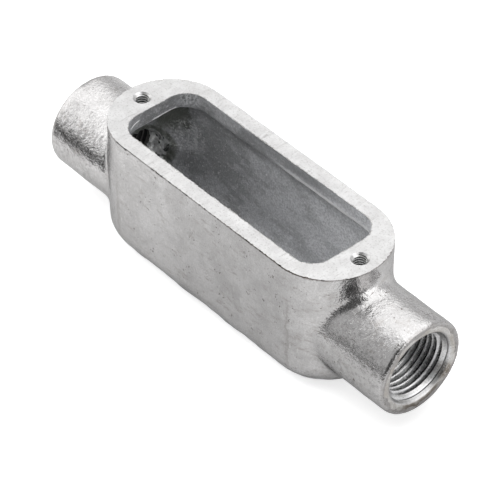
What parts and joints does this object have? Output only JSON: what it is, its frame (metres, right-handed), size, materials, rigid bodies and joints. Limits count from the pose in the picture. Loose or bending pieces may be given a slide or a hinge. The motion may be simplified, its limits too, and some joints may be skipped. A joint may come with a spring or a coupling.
{
  "type": "conduit body",
  "caption": "Straight-through cast iron conduit body: a round-ended wiring box, open at the cover face, with a land for each cover screw and a threaded hub at each end.",
  "frame": {"origin": "middle of the flat back, the face that lies against the wall", "axes": "+X along the hubs, +Z out of the cover face"},
  "size_m": [0.1336, 0.0342, 0.0401],
  "materials": {
    "zinc_coated_casting": "fine-grained casting under a thin bright zinc coat, with the cover face and the threads machined"
  },
  "bodies": {
    "root": {"conduit_body": "zinc_coated_casting"}
  },
  "joints": []
}
